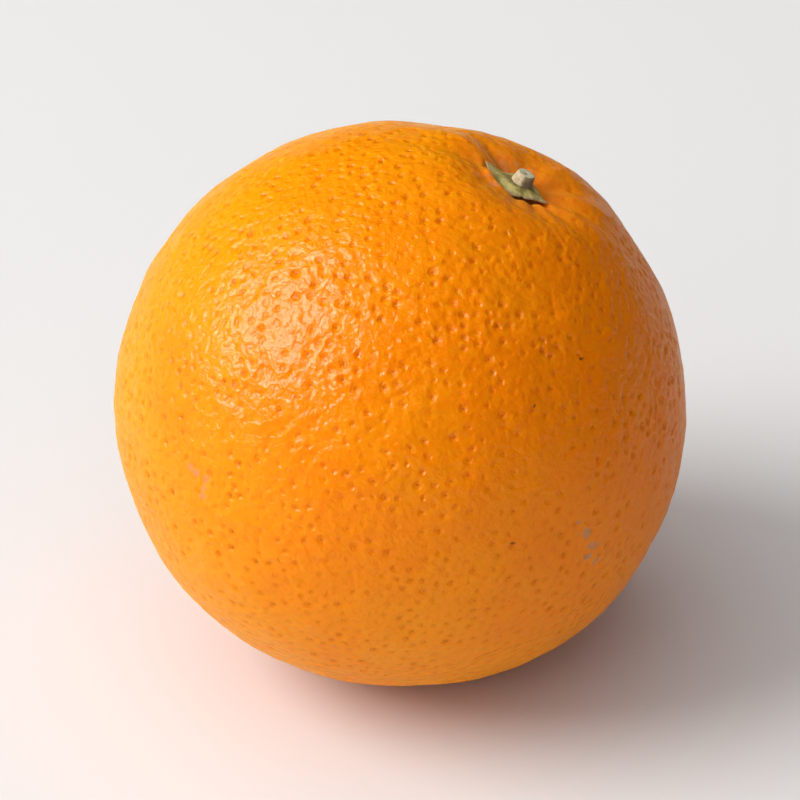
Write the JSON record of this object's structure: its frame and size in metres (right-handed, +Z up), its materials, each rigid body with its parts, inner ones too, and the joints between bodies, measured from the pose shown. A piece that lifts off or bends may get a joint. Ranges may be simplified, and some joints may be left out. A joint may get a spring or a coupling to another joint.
{
  "type": "orange",
  "caption": "Whole orange with its dried star-shaped calyx and a short clipped stem, lying on a small flat spot with its stem end tilted to one side.",
  "frame": {"origin": "on the surface that the fruit lies on, under the middle of its bounding box, inside its flat rest spot", "axes": "+Z up, away from the rest spot; +X towards the side that the stem end leans to, which it does in the XZ plane"},
  "size_m": [0.0764, 0.0762, 0.0745],
  "materials": {
    "peel": "satin",
    "calyx": "matte",
    "stem": "matte"
  },
  "bodies": {
    "root": {"fruit": "peel", "calyx": "calyx", "stem": "stem"}
  },
  "joints": []
}
